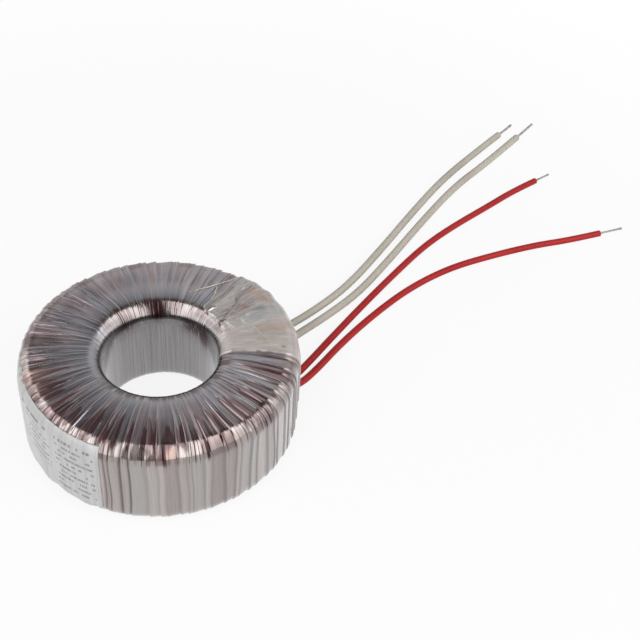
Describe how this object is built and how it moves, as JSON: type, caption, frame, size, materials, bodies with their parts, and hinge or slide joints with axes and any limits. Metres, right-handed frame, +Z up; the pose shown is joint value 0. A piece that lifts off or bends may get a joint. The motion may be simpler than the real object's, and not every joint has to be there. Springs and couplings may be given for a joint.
{
  "type": "toroidal transformer",
  "caption": "Toroidal transformer wrapped in pleated clear film, with a film patch over the lead exits, a blank wall label and bare-ended flying leads.",
  "frame": {"origin": "middle of the hole, on the flat underside that the ring rests on", "axes": "+Z up along the hole; the leads leave the wall between +X and +Y and lie on the same surface"},
  "size_m": [0.2187, 0.193, 0.0316],
  "materials": {
    "core_steel": "rolled strip edges",
    "cap_board": "matt",
    "inner_film": "clear film",
    "enamelled_copper": "enamelled",
    "wrap_film": "clear film in many turns",
    "pad_paper": "matt",
    "patch_film": "clear film",
    "label_paper": "satin",
    "splice_sleeve": "matt",
    "red_insulation": "satin",
    "tinned_wire": "tinned",
    "beige_sleeve": "satin"
  },
  "bodies": {
    "root": {"core": "core_steel", "core_cap_bottom": "cap_board", "core_cap_top": "cap_board", "core_wrap": "inner_film", "primary_winding": "enamelled_copper", "interwinding_wrap": "inner_film", "secondary_winding": "enamelled_copper", "outer_wrap": "wrap_film", "lead_pad": "pad_paper", "lead_patch": "patch_film", "rating_label": "label_paper", "primary_splice_1": "splice_sleeve", "primary_splice_2": "splice_sleeve", "primary_lead_1_root": "red_insulation", "primary_lead_1": "red_insulation", "primary_lead_1_tip": "tinned_wire", "secondary_lead_1_root": "beige_sleeve", "secondary_lead_1": "beige_sleeve", "secondary_lead_1_tip": "tinned_wire", "primary_lead_2_root": "red_insulation", "primary_lead_2": "red_insulation", "primary_lead_2_tip": "tinned_wire", "secondary_lead_2_root": "beige_sleeve", "secondary_lead_2": "beige_sleeve", "secondary_lead_2_tip": "tinned_wire"}
  },
  "joints": []
}
